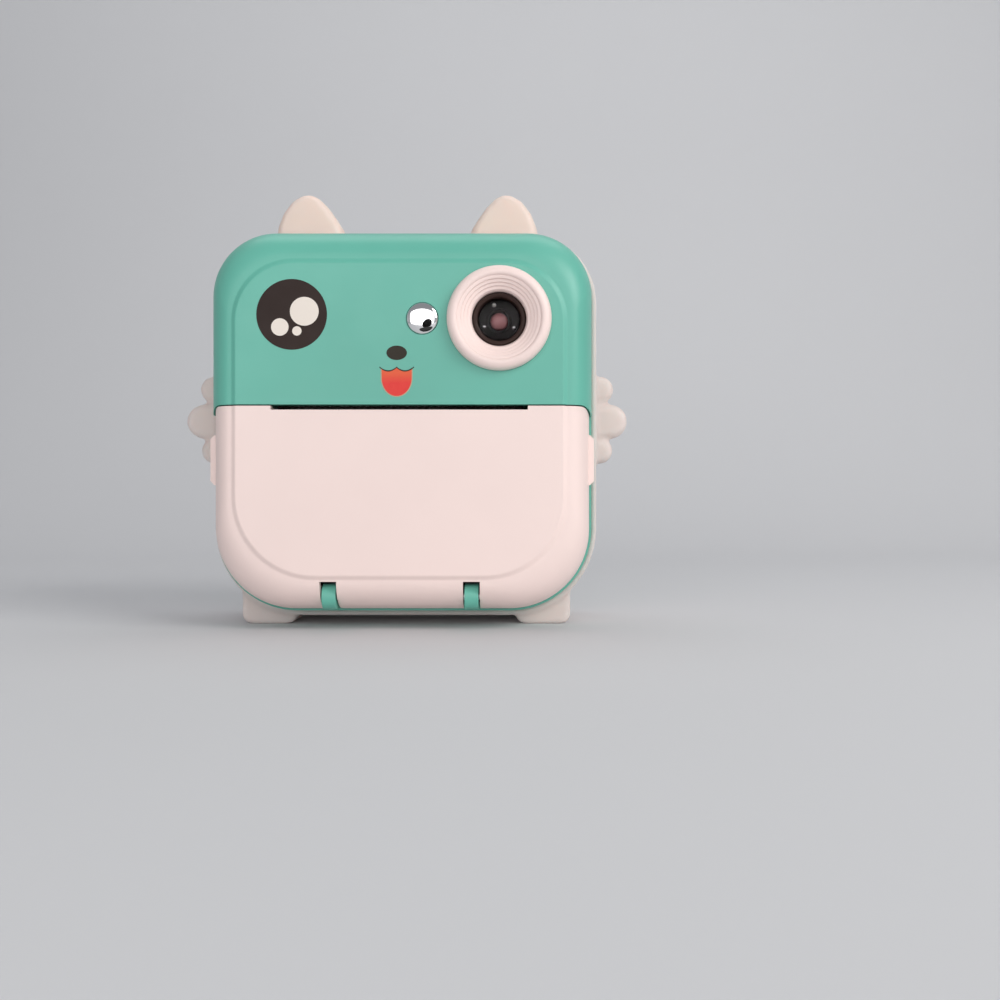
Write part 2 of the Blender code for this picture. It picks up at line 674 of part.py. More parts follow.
def make_head_springs():
    """Two small coil springs between the frame and the head."""
    turns, per_turn, coil_r = 3, 8, 1.3
    for side, name in ((-1, "head_spring_left"), (1, "head_spring_right")):
        curve = bpy.data.curves.new(name, "CURVE")
        curve.dimensions = "3D"
        curve.bevel_depth = 0.2 * MM
        curve.bevel_resolution = 0
        curve.use_fill_caps = True
        spline = curve.splines.new("POLY")
        spline.points.add(turns * per_turn)
        for i, point in enumerate(spline.points):
            angle = math.tau * i / per_turn
            y = -7.5 + 1.8 * i / (turns * per_turn)
            place_at = world(side * 15 + coil_r * math.cos(angle), y, -5.0 + coil_r * math.sin(angle))
            point.co = (*place_at, 1)
        spring = bpy.data.objects.new(name, curve)
        bpy.context.scene.collection.objects.link(spring)
        curve.materials.append(material("steel"))


def make_tear_bar():
    """Serrated strip under the front shell's lip."""
    pitch = 1.5
    outline = [(28.5, -17.5), (-28.5, -17.5), (-28.5, -19.8)]
    for i in range(38):
        outline += [(-28.5 + pitch * (i + 0.5), -20.8), (-28.5 + pitch * (i + 1), -19.8)]
    place("tear_bar", prism(outline, "Z", 2.8, 3.1), "steel")


# ---------------------------------------------------------------- electronics

def make_main_board():
    """Board behind the roll, with key switches on its back."""
    board = place("main_board", box((-41, 15.0, -30.5), (25, 16.2, 29.5)), "circuit_board")
    switches = [box((x - 1.6, 16.0, z - 1.6), (x + 1.6, 18.3, z + 1.6)) for _, x, z, _ in back_button_places()]
    chips = [box((-12, 13.6, 12), (2, 15.2, 26)), box((8, 13.8, 14), (18, 15.2, 22))]
    boolean(board, "UNION", merged(*switches, *chips))
    top = place("switch_board", box((-9, -2, 37.2), (13, 6, 38.4)), "circuit_board")
    keys = [box((x - 1.6, 0.4, 38.2), (x + 1.6, 3.6, 40.4)) for x in (-2, 9.5)]
    boolean(top, "UNION", merged(*keys))


def make_screen():
    place("lcd_module", box((-27, 18.7, -4.5), (27, 20.6, 34.5)), "screen")
    window = prism(rounded_outline((-26, -3), (26, 33), 2.0), "Y", 21.1, 22.8)
    place("screen_window", window, "screen")


def make_power_parts():
    battery = prism(rounded_outline((-28, 14.5), (-2, 38 - 2.5), 1.5), "Y", -4, 4)
    place("battery", battery, "battery_wrap")
    speaker = [(0, 17.0), (6.0, 17.0), (6.0, 18.6), (6.8, 18.6), (6.8, 20.5), (0, 20.5)]
    place("speaker", turned(speaker, "Y", (SPEAKER_X, SPEAKER_Z), 28), "black_plastic")


def make_sockets(parent):
    usb = place("usb_socket", prism(rounded_outline((11.5, 10.0), (14.7, 19.0), 1.3), "X", -44.7, -37.0), "steel")
    boolean(usb, "DIFFERENCE", prism(rounded_outline((11.9, 10.4), (14.3, 18.6), 1.0), "X", -50, -38.5))
    boolean(usb, "UNION", box((-43.5, 12.8, 11.6), (-38.0, 13.4, 17.4)))
    card = place("card_socket", box((-42.6, 11.8, -7.2), (-28.0, 14.7, 7.2)), "steel")
    boolean(card, "DIFFERENCE", box((-50, 12.7, -5.9), (-29.0, 14.2, 5.9)))
    outline = [(-44.2, -5.5), (-29.6, -5.5), (-29.6, 4.6), (-30.4, 5.5), (-44.2, 5.5)]
    place("memory_card", prism(outline, "Y", 13.1, 13.8), "black_plastic", parent)


# ---------------------------------------------------------------- buttons

def make_back_buttons():
    for name, x, z, radius in back_button_places():
        parent = axis_empty(f"{name}_axis", x, 20, z)
        profile = [(0, 19.6), (radius + 0.8, 19.6), (radius + 0.8, 20.5), (radius, 20.5),
                   (radius, 23.5), (radius - 0.5, 24.1), (radius - 1.3, 24.4), (0, 24.5)]
        place(name, turned(profile, "Y", (x, z), 16), "white_plastic", parent)


def make_top_buttons():
    parent = axis_empty("shutter_axis", -2, 2, 44)
    lower = prism(rounded_outline((-9.3, -1.8), (5.3, 5.8), 3.7), "Z", 41.6, 42.6)
    button = place("shutter_button", lower, "teal_plastic")
    cap = prism(rounded_outline((-8.5, -1.0), (4.5, 5.0), 2.9), "Z", 42.3, 45.7)
    ribs = [rod("Y", (x, 45.6), 0.55, 0.5, 3.5, 12) for x in (-3.8, 0.7)]
    boolean(button, "UNION", merged(cap, *ribs), tangled=True)
    attach(button, parent)
    parent = axis_empty("power_axis", 9.5, 2, 44)
    profile = [(0, 41.6), (3.2, 41.6), (3.2, 42.6), (2.4, 42.6), (2.4, 45.2), (2.0, 45.6), (0, 45.7)]
    place("power_button", turned(profile, "Z", (9.5, 2.0), 24), "teal_plastic", parent)


# ---------------------------------------------------------------- assembly

def main():
    clear_scene()
    make_front_shell()
    make_rear_shell()
    door_axis = axis_empty("door_axis", 0, HINGE_Y, HINGE_Z)
    make_paper_door(door_axis)
    make_platen_bushes(door_axis)
    make_hinge_pins()
    make_case_screws()
    make_silicone_case()
    make_lens()
    make_mirror()
    make_paper(axis_empty("roll_axis", 0, ROLL_Y, ROLL_Z))
    make_paper_cradle()
    make_platen(axis_empty("platen_axis", 0, PLATEN_Y, PLATEN_Z))
    make_idler(axis_empty("idler_axis", 33, *idler_centre()))
    make_motor(axis_empty("pinion_axis", 33, *pinion_centre()))
    make_mech_frame()
    make_print_head(axis_empty("head_axis", 0, PIVOT_Y, PIVOT_Z))
    make_head_springs()
    make_tear_bar()
    make_main_board()
    make_screen()
    make_power_parts()
    make_sockets(axis_empty("card_axis", -37, 13.4, 0))
    make_back_buttons()
    make_top_buttons()


main()
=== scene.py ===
import json
import math

import bmesh
import bpy
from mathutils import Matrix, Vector

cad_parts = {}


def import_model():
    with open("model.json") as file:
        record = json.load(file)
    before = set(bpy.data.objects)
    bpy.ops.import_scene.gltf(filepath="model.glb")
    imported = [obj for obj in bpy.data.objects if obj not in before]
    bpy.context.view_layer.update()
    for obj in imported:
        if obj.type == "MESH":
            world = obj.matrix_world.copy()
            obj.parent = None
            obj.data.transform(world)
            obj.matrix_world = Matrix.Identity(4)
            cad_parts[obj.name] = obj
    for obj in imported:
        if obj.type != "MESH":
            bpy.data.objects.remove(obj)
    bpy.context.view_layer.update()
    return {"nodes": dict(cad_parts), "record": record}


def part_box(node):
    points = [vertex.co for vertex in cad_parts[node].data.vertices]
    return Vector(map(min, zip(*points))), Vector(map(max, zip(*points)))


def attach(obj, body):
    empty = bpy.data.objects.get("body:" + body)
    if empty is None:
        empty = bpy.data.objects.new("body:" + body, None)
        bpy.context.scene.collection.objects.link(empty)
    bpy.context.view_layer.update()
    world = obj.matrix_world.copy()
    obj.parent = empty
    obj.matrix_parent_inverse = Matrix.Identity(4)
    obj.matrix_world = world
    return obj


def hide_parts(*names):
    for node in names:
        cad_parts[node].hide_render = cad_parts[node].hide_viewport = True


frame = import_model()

# Lengths in this script are millimetres counted from the middle of the square body, as on a drawing;
# world() turns them into the frame's metres.
MM = 0.001
REAR_LOW, REAR_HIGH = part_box("rear_shell")
CENTRE_Z = (REAR_LOW.z + REAR_HIGH.z) / 2
FRONT_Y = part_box("front_shell")[0].y / MM
BACK_Y = REAR_HIGH.y / MM
HALF = (REAR_HIGH.x - REAR_LOW.x) / 2 / MM

TOP_CORNER = 15.0
BOTTOM_CORNER = 19.5
TOP_PLATEAU = 14.0
BOTTOM_PLATEAU = 19.0
EDGE_Y = -12.0
BAND_X = 6.2
BAND_Z = 7.9
CREASE = 0.6
BACK_ROUND = 6.0
WALL = 2.0
GAP = 0.3
CUT_SPAN = 60.0
DOOR_INSET = 0.6
DOOR_CORNER = 2.5
CORNER_STEPS = 20
BAND_STEPS = 14
FINE_ROUND = 96

DOOR_TOP_Z = (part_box("paper_door")[1].z - CENTRE_Z) / MM
SPLIT_Z = DOOR_TOP_Z + GAP
SLOT_HALF = 29.5
SLOT_FLOOR_Z = 2.2


def node_centre(node):
    """The middle of a CAD node, in millimetres from the body's middle."""
    low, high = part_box(node)
    middle = (low + high) / 2
    return middle.x / MM, middle.y / MM, (middle.z - CENTRE_Z) / MM


LENS_X, _, LENS_Z = node_centre("lens_ring")
MIRROR_X, _, MIRROR_Z = node_centre("selfie_mirror")
_, HINGE_Y, HINGE_Z = node_centre("hinge_pin_left")
_, PLATEN_Y, PLATEN_Z = node_centre("platen_shaft")
_, ROLL_Y, ROLL_Z = node_centre("paper_roll")
LUG_X = 16.5
LUG_HALF = 1.6
NOTCH_HALF = 1.95
LUG_R = 3.0
PIN_BORE_R = 1.1
SHAFT_BORE_R = 2.4
SCREW_AT = node_centre("case_screw_2")[0]
SCREW_POST_R = 3.0
SCREW_HOLE_R = 1.3
SCREW_HEAD_R = 2.5
LENS_HOLE_R = 9.3
MIRROR_R = 3.6
MIRROR_DOME = 0.85
MIRROR_EDGE_Y = -22.55

CASE_WALL = 1.5
CASE_FRONT_Y = -7.0
CASE_BACK_Y = 25.0
CASE_VOXEL = 0.55
EAR_X = 24.5
EAR_FOOT_Z = 46.0
EAR_MIDDLE_Z = 50.0
WING_ROOT_X = 46.0
WING_LOBES = ((48.0, 8.9, 3.3), (50.5, 1.0, 4.2), (48.0, -6.3, 3.1))

BUTTON_FLANGE = 0.8
BUTTON_FACE_Y = 24.45
POWER_AT = (9.5, 2.0)
SPEAKER_HOLE_R = 0.8
SPEAKER_RING_R = 3.2
GROOVES = 4
GROOVE_STEP = 0.72
GROOVE_DEPTH = 0.5

EYE = (-24.6, 24.0, 8.1)
GLINTS = ((2.9, 0.7, 3.3), (-2.7, -2.9, 2.0), (1.2, -3.8, 1.07))
FACE_X = -0.55
LIP_Z = 11.05
LIP_HALF = 3.95
INK = 0.03

BACK_BUTTONS = ("ok_button", "up_button", "down_button", "left_button", "right_button",
                "menu_button", "play_button")
ARROWS = {"up_button": 90, "down_button": -90, "left_button": 0, "right_button": 180}


# ---------------------------------------------------------------- geometry helpers

def world(x, y, z):
    return Vector((x * MM, y * MM, z * MM + CENTRE_Z))


def loft(rings):
    """A closed solid through rings of points that all have the same count."""
    bm = bmesh.new()
    loops = [[bm.verts.new(world(*point)) for point in ring] for ring in rings]
    count = len(loops[0])
    for first, second in zip(loops, loops[1:]):
        for i in range(count):
            j = (i + 1) % count
            bm.faces.new((first[i], first[j], second[j], second[i]))
    bm.faces.new(loops[0])
    bm.faces.new(reversed(loops[-1]))
    return bm


def prism(outline, axis, low, high):
    def point(a, b, along):
        return {"X": (along, a, b), "Y": (a, along, b), "Z": (a, b, along)}[axis]
    return loft([[point(a, b, low) for a, b in outline], [point(a, b, high) for a, b in outline]])


def box(low, high):
    outline = [(low[0], low[1]), (high[0], low[1]), (high[0], high[1]), (low[0], high[1])]
    return prism(outline, "Z", low[2], high[2])


def arc(centre, radius, start, end, steps):
    points = []
    for i in range(steps + 1):
        angle = math.radians(start + (end - start) * i / steps)
        points.append((centre[0] + radius * math.cos(angle), centre[1] + radius * math.sin(angle)))
    return points


def rounded_outline(low, high, radius, steps=10):
    a0, b0 = low
    a1, b1 = high
    return (arc((a1 - radius, b1 - radius), radius, 0, 90, steps)
            + arc((a0 + radius, b1 - radius), radius, 90, 180, steps)
            + arc((a0 + radius, b0 + radius), radius, 180, 270, steps)
            + arc((a1 - radius, b0 + radius), radius, 270, 360, steps))


def turned(profile, axis, centre, segments=FINE_ROUND, closed=False):
    """A profile of (radius, place along the axis) turned about an axis through centre."""
    def point(radius, along, angle):
        u = centre[0] + radius * math.cos(angle)
        v = centre[1] + radius * math.sin(angle)
        return {"X": (along, u, v), "Y": (u, along, v), "Z": (u, v, along)}[axis]

    bm = bmesh.new()
    rings = []
    for radius, along in profile:
        if radius == 0:
            rings.append([bm.verts.new(world(*point(0, along, 0)))] * segments)
        else:
            rings.append([bm.verts.new(world(*point(radius, along, math.tau * i / segments)))
                          for i in range(segments)])
    pairs = list(zip(rings, rings[1:]))
    if closed:
        pairs.append((rings[-1], rings[0]))
    for first, second in pairs:
        for i in range(segments):
            j = (i + 1) % segments
            corners = list(dict.fromkeys((first[i], first[j], second[j], second[i])))
            if len(corners) > 2:
                bm.faces.new(corners)
    return bm


def rod(axis, centre, radius, low, high, segments=48):
    return turned([(0, low), (radius, low), (radius, high), (0, high)], axis, centre, segments)


def rounded_profile(points, radius, steps=4):
    """A turned profile with each inner corner replaced by a short curve."""
    rounded = [points[0]]
    for before, corner, after in zip(points, points[1:], points[2:]):
        a, c, b = Vector(before), Vector(corner), Vector(after)
        reach = min(radius, (a - c).length / 2.1, (b - c).length / 2.1)
        start = c + (a - c).normalized() * reach
        end = c + (b - c).normalized() * reach
        for i in range(steps + 1):
            t = i / steps
            point = start * (1 - t) ** 2 + c * 2 * t * (1 - t) + end * t ** 2
            rounded.append((point.x, point.y))
    rounded.append(points[-1])
    return rounded


def merged(*solids):
    whole = bmesh.new()
    for bm in solids:
        mesh = bpy.data.meshes.new("merge")
        bmesh.ops.recalc_face_normals(bm, faces=bm.faces)
        bm.to_mesh(mesh)
        bm.free()
        whole.from_mesh(mesh)
        bpy.data.meshes.remove(mesh)
    return whole


def raw_object(name, bm):
    bmesh.ops.recalc_face_normals(bm, faces=bm.faces)
    mesh = bpy.data.meshes.new(name)
    bm.to_mesh(mesh)
    bm.free()
    obj = bpy.data.objects.new(name, mesh)
    bpy.context.scene.collection.objects.link(obj)
    return obj


def settle(obj):
    """Applies an object's modifiers."""
    graph = bpy.context.evaluated_depsgraph_get()
    mesh = bpy.data.meshes.new_from_object(obj.evaluated_get(graph))
    obj.modifiers.clear()
    obj.data = mesh


def carve(obj, steps):
    """Runs Boolean steps of (operation, bmesh, tangled) on an object and applies them."""
    tools = []
    for operation, bm, tangled in steps:
        tool = raw_object(f"{obj.name}_tool", bm)
        modifier = obj.modifiers.new(operation, "BOOLEAN")
        modifier.operation = operation
        modifier.object = tool
        modifier.use_self = tangled
        tools.append(tool)
    settle(obj)
    for tool in tools:
        bpy.data.objects.remove(tool, do_unlink=True)


def soften(obj, width, segments=2, angle=35):
    """Rounds an object's sharp edges."""
    modifier = obj.modifiers.new("edge", "BEVEL")
    modifier.width = width * MM
    modifier.segments = segments
    modifier.limit_method = "ANGLE"
    modifier.angle_limit = math.radians(angle)
    modifier.harden_normals = False
    settle(obj)


def finish_piece(obj, look, body, nodes=(), sharp=40):
    """Gives a piece its material and its body, smooths its shading, and hides the CAD nodes that it stands
    for.
    """
    obj.data.materials.clear()
    obj.data.materials.append(look)
    obj.data.shade_smooth()
    obj.data.set_sharp_from_angle(angle=math.radians(sharp))
    modifier = obj.modifiers.new("even shading", "WEIGHTED_NORMAL")
    modifier.keep_sharp = True
    modifier.weight = 80
    settle(obj)
    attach(obj, body)
    if nodes:
        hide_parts(*nodes)
    return obj


# ---------------------------------------------------------------- materials

def blank_material(name, roughness, metallic=0.0):
    made = bpy.data.materials.new(name)
    made.use_nodes = True
    shader = made.node_tree.nodes["Principled BSDF"]
    shader.inputs["Roughness"].default_value = roughness
    shader.inputs["Metallic"].default_value = metallic
    return made, made.node_tree, shader


def noise(tree, scale, detail=3.0, stretch=(1, 1, 1)):
    """A noise pattern fixed to the object, scale in features per metre."""
    coords = tree.nodes.new("ShaderNodeTexCoord")
    mapping = tree.nodes.new("ShaderNodeMapping")
    mapping.inputs["Scale"].default_value = stretch
    tree.links.new(coords.outputs["Object"], mapping.inputs["Vector"])
    texture = tree.nodes.new("ShaderNodeTexNoise")
    texture.inputs["Scale"].default_value = scale
    texture.inputs["Detail"].default_value = detail
    tree.links.new(mapping.outputs["Vector"], texture.inputs["Vector"])
    return texture.outputs["Fac"]


def spread(tree, value, low, high):
    """Maps the middle of a noise pattern to low..high."""
    node = tree.nodes.new("ShaderNodeMapRange")
    node.inputs["From Min"].default_value = 0.3
    node.inputs["From Max"].default_value = 0.7
    node.inputs["To Min"].default_value = low
    node.inputs["To Max"].default_value = high
    tree.links.new(value, node.inputs["Value"])
    return node.outputs["Result"]


def blend_colours(tree, factor, first, second):
    mix = tree.nodes.new("ShaderNodeMix")
    mix.data_type = "RGBA"
    tree.links.new(factor, mix.inputs["Factor"])
    for name, colour in (("A", first), ("B", second)):
        if isinstance(colour, tuple):
            mix.inputs[name].default_value = (*colour, 1.0)
        else:
            tree.links.new(colour, mix.inputs[name])
    return mix.outputs["Result"]


def bump(tree, shader, height, strength, distance):
    node = tree.nodes.new("ShaderNodeBump")
    node.inputs["Strength"].default_value = strength
    node.inputs["Distance"].default_value = distance * MM
    tree.links.new(height, node.inputs["Height"])
    tree.links.new(node.outputs["Normal"], shader.inputs["Normal"])


def shaded(colour, amount):
    return tuple(max(0.0, channel * amount) for channel in colour)


def varied(name, colour, roughness, metallic=0.0, patch=30, grain=1500, grain_depth=0.02, contrast=0.06,
           stretch=(1, 1, 1), shine=0.5):
    """A material with soft colour patches, uneven gloss and a fine surface grain."""
    made, tree, shader = blank_material(name, roughness, metallic)
    shader.inputs["Specular IOR Level"].default_value = shine
    patches = spread(tree, noise(tree, patch), 0.0, 1.0)
    tint = blend_colours(tree, patches, shaded(colour, 1 - contrast), shaded(colour, 1 + contrast))
    tree.links.new(tint, shader.inputs["Base Color"])
    gloss = spread(tree, noise(tree, patch * 7, 5.0, stretch), roughness * 0.88, roughness * 1.12)
    tree.links.new(gloss, shader.inputs["Roughness"])
    bump(tree, shader, noise(tree, grain, 4.0, stretch), 0.35, grain_depth)
    return made


def object_axis(tree, axis):
    coords = tree.nodes.new("ShaderNodeTexCoord")
    split = tree.nodes.new("ShaderNodeSeparateXYZ")
    tree.links.new(coords.outputs["Object"], split.inputs["Vector"])
    return split.outputs[axis]


def ramp(tree, value, start, end):
    """0 to 1 as a value in metres goes from start to end, both in millimetres."""
    node = tree.nodes.new("ShaderNodeMapRange")
    node.inputs["From Min"].default_value = start * MM
    node.inputs["From Max"].default_value = end * MM
    tree.links.new(value, node.inputs["Value"])
    return node.outputs["Result"]


def silicone_look():
    """Milky silicone, lighter and pinker in the dense ears than lower down. The greyer lower colour is
    painted shade for the wings, which sit back in the body's shade, and in part the thinner silicone's own
    greyer tone.
    """
    made, tree, shader = blank_material("milky_silicone", 0.50)
    # Painted shade: the colour runs from the lighter pink of the ears to grey lower down, where the wings
    # lie in the body's shade.
    painted_shade_height = ramp(tree, object_axis(tree, "Z"), CENTRE_Z / MM + 38, CENTRE_Z / MM + 50)
    painted_shade_tint = blend_colours(tree, painted_shade_height, (0.80, 0.70, 0.67), (0.97, 0.76, 0.67))
    cloud = spread(tree, noise(tree, 45), 0.0, 0.5)
    tree.links.new(blend_colours(tree, cloud, painted_shade_tint, (0.86, 0.72, 0.66)), shader.inputs["Base Color"])
    tree.links.new(spread(tree, noise(tree, 300, 5.0), 0.44, 0.56), shader.inputs["Roughness"])
    bump(tree, shader, noise(tree, 900, 4.0), 0.35, 0.02)
    shader.inputs["Subsurface Weight"].default_value = 0.5
    shader.inputs["Subsurface Radius"].default_value = (1.0, 0.8, 0.75)
    shader.inputs["Subsurface Scale"].default_value = 0.004
    shader.inputs["Transmission Weight"].default_value = 0.12
    shader.inputs["IOR"].default_value = 1.41
    return made


def glass_look(name, colour, transmission, coat):
    made = varied(name, colour, 0.03, patch=60, grain=300, grain_depth=0.001, contrast=0.10)
    shader = made.node_tree.nodes["Principled BSDF"]
    shader.inputs["Transmission Weight"].default_value = transmission
    shader.inputs["IOR"].default_value = 1.16
    shader.inputs["Coat Weight"].default_value = coat
    shader.inputs["Coat Roughness"].default_value = 0.02
    return made


def barrel_look():
    """Black lens barrel with a warm brown front rim."""
    made, tree, shader = blank_material("lens_barrel_black", 0.34)
    rim = ramp(tree, object_axis(tree, "Y"), -19.6, -21.4)
    tint = blend_colours(tree, rim, (0.003, 0.002, 0.002), (0.045, 0.026, 0.022))
    speck = blend_colours(tree, spread(tree, noise(tree, 400), 0.0, 0.3), tint, (0.02, 0.012, 0.012))
    tree.links.new(speck, shader.inputs["Base Color"])
    shader.inputs["Specular IOR Level"].default_value = 0.1
    bump(tree, shader, noise(tree, 1500), 0.3, 0.01)
    return made


def mouth_look():
    """Printed mouth ink: orange at the top, red towards the tongue."""
    made, tree, shader = blank_material("mouth_ink", 0.42)
    shader.inputs["Specular IOR Level"].default_value = 0.2
    height = ramp(tree, object_axis(tree, "Z"), CENTRE_Z / MM + 8.3, CENTRE_Z / MM + 10.6)
    fade = blend_colours(tree, height, (0.76, 0.050, 0.045), (0.78, 0.13, 0.055))
    mottle = blend_colours(tree, spread(tree, noise(tree, 900), 0.0, 0.25), fade, (0.82, 0.09, 0.06))
    tree.links.new(mottle, shader.inputs["Base Color"])
    bump(tree, shader, noise(tree, 2500), 0.2, 0.01)
    return made


def roll_look():
    """Wound paper: fine rings on the ends of the roll, plain white round the outside."""
    made, tree, shader = blank_material("wound_paper", 0.75)
    coords = tree.nodes.new("ShaderNodeTexCoord")
    shift = tree.nodes.new("ShaderNodeVectorMath")
    shift.operation = "SUBTRACT"
    shift.inputs[1].default_value = world(0, ROLL_Y, ROLL_Z)
    tree.links.new(coords.outputs["Object"], shift.inputs[0])
    flat = tree.nodes.new("ShaderNodeVectorMath")
    flat.operation = "MULTIPLY"
    flat.inputs[1].default_value = (0, 1, 1)
    tree.links.new(shift.outputs["Vector"], flat.inputs[0])
    radius = tree.nodes.new("ShaderNodeVectorMath")
    radius.operation = "LENGTH"
    tree.links.new(flat.outputs["Vector"], radius.inputs[0])
    layers = tree.nodes.new("ShaderNodeMath")
    layers.operation = "SINE"
    scaled = tree.nodes.new("ShaderNodeMath")
    scaled.operation = "MULTIPLY"
    scaled.inputs[1].default_value = math.tau / (0.45 * MM)
    tree.links.new(radius.outputs["Value"], scaled.inputs[0])
    tree.links.new(scaled.outputs["Value"], layers.inputs[0])
    tint = tree.nodes.new("ShaderNodeMapRange")
    tint.inputs["From Min"].default_value = -1
    tree.links.new(layers.outputs["Value"], tint.inputs["Value"])
    tree.links.new(blend_colours(tree, tint.outputs["Result"], (0.80, 0.78, 0.75), (0.91, 0.895, 0.875)),
                   shader.inputs["Base Color"])
    bump(tree, shader, noise(tree, 2500), 0.2, 0.01)
    return made


def make_looks():
    return {
        "teal": varied("teal_plastic", (0.135, 0.475, 0.375), 0.38, patch=22, grain=1600,
                       grain_depth=0.012),
        "white": varied("white_plastic", (0.92, 0.745, 0.700), 0.42, patch=22, grain=1600,
                        grain_depth=0.012, contrast=0.025),
        "black": varied("black_plastic", (0.016, 0.010, 0.010), 0.30, grain_depth=0.01,
                        contrast=0.2, shine=0.3),
        "barrel": barrel_look(),
        "silicone": silicone_look(),
        "mirror": varied("selfie_chrome", (0.90, 0.90, 0.91), 0.03, metallic=1.0, grain=400,
                         grain_depth=0.001, contrast=0.02),
        "steel": varied("plated_steel", (0.62, 0.62, 0.63), 0.28, metallic=1.0, patch=80, grain=700,
                        grain_depth=0.006, stretch=(0.08, 1, 1)),
        "cover_glass": glass_look("cover_glass", (0.92, 0.90, 0.90), 1.0, 0.0),
        "front_lens": glass_look("front_lens", (0.50, 0.20, 0.21), 0.1, 1.0),
        "rubber": varied("platen_rubber", (0.035, 0.035, 0.036), 0.65, grain=1200, contrast=0.15),
        "nylon": varied("gear_nylon", (0.80, 0.78, 0.70), 0.42, contrast=0.04),
        "paper": roll_look(),
        "core": varied("core_plastic", (0.10, 0.10, 0.11), 0.5, contrast=0.1),
        "board": varied("circuit_board", (0.03, 0.20, 0.09), 0.4, patch=120, grain=500, contrast=0.15),
        "battery": varied("battery_wrap", (0.50, 0.52, 0.56), 0.35, patch=60, grain=250, contrast=0.08),
        "screen": varied("screen_glass", (0.012, 0.013, 0.018), 0.07, patch=40, grain=200,
                         grain_depth=0.001, contrast=0.2),
        "eye_ink": varied("eye_ink", (0.030, 0.017, 0.014), 0.45, grain=2500, contrast=0.15, shine=0.2),
        "glint_ink": varied("glint_ink", (0.82, 0.74, 0.66), 0.40, grain=2500, contrast=0.03),
        "lip_ink": varied("lip_ink", (0.036, 0.029, 0.021), 0.45, grain=2500, contrast=0.12, shine=0.2),
        "mark_ink": varied("mark_ink", (0.17, 0.16, 0.16), 0.5, grain=2500, contrast=0.1),
        "display": varied("display_panel", (0.020, 0.022, 0.030), 0.10, patch=60, grain=200,
                          grain_depth=0.001, contrast=0.3),
        "halo_ink": varied("halo_ink", (0.45, 0.38, 0.24), 0.45, grain=2500, contrast=0.06),
        "mouth_ink": mouth_look(),
    }


# ---------------------------------------------------------------- body shells

def body_ring(half_x, half_z, top_corner, bottom_corner, y):
    ring = []
    corners = ((1, 1, top_corner, 0), (-1, 1, top_corner, 90),
               (-1, -1, bottom_corner, 180), (1, -1, bottom_corner, 270))
    for side_x, side_z, radius, start in corners:
        centre = (side_x * (half_x - radius), side_z * (half_z - radius))
        ring += [(x, y, z) for x, z in arc(centre, radius, start, start + 90, CORNER_STEPS)]
    return ring


def body_solid(offset, front_y, back_y, back_steps=10):
    """The camera's outer form moved out by offset, with a soft crease round its front face."""
    half = HALF + offset
    depth = EDGE_Y - front_y - CREASE
    rings = []

    def ring(share, y, extra=0.0):
        edge = HALF + offset * (1 - share)
        rings.append(body_ring(
            edge - BAND_X * share - extra,
            edge - BAND_Z * share - extra,
            (TOP_CORNER + offset) * (1 - share) + TOP_PLATEAU * share - extra * 0.5,
            (BOTTOM_CORNER + offset) * (1 - share) + BOTTOM_PLATEAU * share - extra * 0.5,
            y))

    for i in range(9):
        rise = i / 8
        ring(1.0, front_y + CREASE * 0.5 * (1 - math.cos(math.pi * rise)), extra=1.4 * (1 - rise) + 0.02)
    for i in range(BAND_STEPS, -1, -1):
        angle = math.pi / 2 * i / BAND_STEPS
        ring(1 - math.cos(angle), EDGE_Y - depth * math.sin(angle))
    back_round = BACK_ROUND + offset
    for i in range(back_steps + 1):
        angle = math.pi / 2 * i / back_steps
        inset = back_round * (1 - math.cos(angle))
        rings.append(body_ring(half - inset, half - inset, TOP_CORNER + offset - inset,
                               BOTTOM_CORNER + offset - inset,
                               back_y - back_round + back_round * math.sin(angle)))
    return loft(rings)


def inside_solid(offset):
    return body_solid(offset - WALL, FRONT_Y + WALL + 0.1, BACK_Y - WALL)


def door_corner(radius, start):
    """Arc round the door's upper right corner, from an angle in degrees up to the top edge."""
    centre = (HALF - DOOR_INSET - DOOR_CORNER, DOOR_TOP_Z - DOOR_CORNER)
    return arc(centre, radius, start, 90, 16)


def make_front_shell(look):
    """The front cover above the door, with screw posts and holes for the lens and mirror."""
    shell = raw_object("front_shell_skin", body_solid(0, FRONT_Y, BACK_Y))
    posts = [rod("Y", (side * SCREW_AT, SCREW_AT), SCREW_POST_R, -20.0, 12.7) for side in (-1, 1)]
    holes = [rod("Y", (side * SCREW_AT, SCREW_AT), SCREW_HOLE_R, 3.0, 14.0) for side in (-1, 1)]
    holes += [rod("Y", (LENS_X, LENS_Z), LENS_HOLE_R, -30, -15, FINE_ROUND),
              rod("Y", (MIRROR_X, MIRROR_Z), MIRROR_R + 0.12, -30, -15, FINE_ROUND)]
    right = door_corner(DOOR_CORNER + GAP, 20)
    left = [(-x, z) for x, z in reversed(right)]
    low = right[0][1]
    edge = ([(CUT_SPAN, low)] + right + left
            + [(-CUT_SPAN, low), (-CUT_SPAN, CUT_SPAN), (CUT_SPAN, CUT_SPAN)])
    carve(shell, [
        ("DIFFERENCE", inside_solid(0), False),
        ("INTERSECT", prism(edge, "Y", -40, EDGE_Y - GAP / 2), False),
        ("UNION", box((-40.5, -20.6, SPLIT_Z), (40.5, EDGE_Y - GAP / 2, SPLIT_Z + WALL)), False),
        ("UNION", merged(*posts), False),
        ("DIFFERENCE", merged(*holes), False),
    ])
    soften(shell, 0.22)
    finish_piece(shell, look["teal"], "camera", ["front_shell"])


def cap_radius(name):
    """Radius of a round back button's cap, which is narrower than its flange."""
    low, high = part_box(name)
    return (high.x - low.x) / 2 / MM - BUTTON_FLANGE


